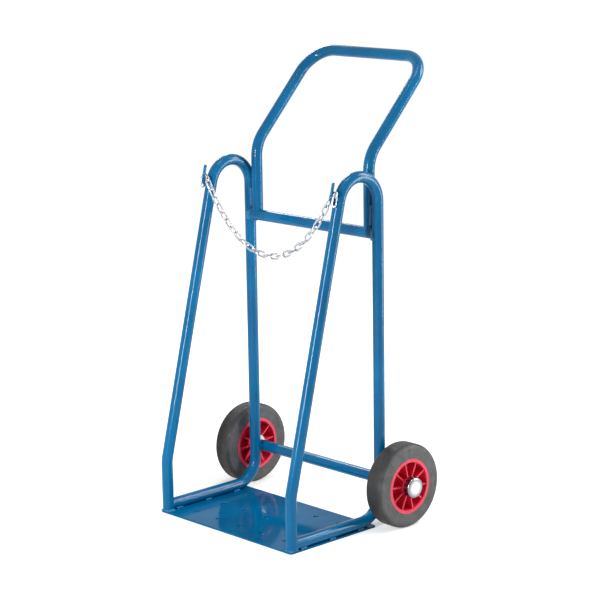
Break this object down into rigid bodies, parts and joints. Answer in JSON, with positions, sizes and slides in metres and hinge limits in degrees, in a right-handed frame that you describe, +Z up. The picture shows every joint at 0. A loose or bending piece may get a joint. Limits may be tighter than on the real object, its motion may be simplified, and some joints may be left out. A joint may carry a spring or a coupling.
{
  "type": "gas cylinder trolley",
  "caption": "Upright tube trolley for a gas cylinder: drilled base plate, leaning side frames, bent-back handle, retaining chain on hooks and ribbed wheels with rubber tyres.",
  "frame": {"origin": "on the floor, under the middle of the trolley's overall length and width", "axes": "+Z up, -Y to the front where the cylinder goes on, +X across, towards the right wheel in the picture"},
  "size_m": [0.614, 0.5096, 1.0884],
  "materials": {
    "blue_enamel": "gloss",
    "bright_zinc": "satin",
    "axle_steel": "satin",
    "cap_chrome": "gloss",
    "red_moulding": "satin",
    "grey_rubber": "matte"
  },
  "bodies": {
    "frame": {"base_plate": "blue_enamel", "left_side_frame": "blue_enamel", "right_side_frame": "blue_enamel", "upper_cross_bar": "blue_enamel", "axle_tube": "blue_enamel", "handle_tube": "blue_enamel", "left_chain_hook": "blue_enamel", "right_chain_hook": "blue_enamel", "rail_welds": "blue_enamel", "foot_welds": "blue_enamel", "cross_bar_welds": "blue_enamel", "handle_welds": "blue_enamel", "axle_tube_welds": "blue_enamel", "hook_welds": "blue_enamel", "wheel_axle": "axle_steel", "inner_washers": "bright_zinc", "outer_washers": "bright_zinc", "left_hub_cap": "cap_chrome", "right_hub_cap": "cap_chrome", "left_seat_link": "bright_zinc", "right_seat_link": "bright_zinc"},
    "left_wheel": {"left_hub_bush": "axle_steel", "left_wheel_centre": "red_moulding", "left_tyre": "grey_rubber"},
    "right_wheel": {"right_hub_bush": "axle_steel", "right_wheel_centre": "red_moulding", "right_tyre": "grey_rubber"},
    "chain": {"chain_run": "bright_zinc"},
    "left_end_link": {"left_end_link": "bright_zinc"},
    "right_end_link": {"right_end_link": "bright_zinc"}
  },
  "joints": [
    {"name": "left_wheel_spin", "type": "hinge", "parent": "frame", "child": "left_wheel", "pos_m": [-0.26295, 0.0706, 0.1], "axis": [1, 0, 0], "continuous": true},
    {"name": "right_wheel_spin", "type": "hinge", "parent": "frame", "child": "right_wheel", "pos_m": [0.26295, 0.0706, 0.1], "axis": [1, 0, 0], "continuous": true},
    {"name": "chain_swing", "type": "hinge", "parent": "frame", "child": "chain", "pos_m": [0, -0.09812, 0.7901], "axis": [1, 0, 0], "range_deg": [-28, 0]},
    {"name": "left_end_link_swing", "type": "hinge", "parent": "frame", "child": "left_end_link", "pos_m": [-0.2218, -0.09651, 0.79653], "axis": [0, 0.9701, -0.2426], "range_deg": [0, 45]},
    {"name": "right_end_link_swing", "type": "hinge", "parent": "frame", "child": "right_end_link", "pos_m": [0.2218, -0.09651, 0.79653], "axis": [0, -0.9701, 0.2426], "range_deg": [0, 45]}
  ]
}
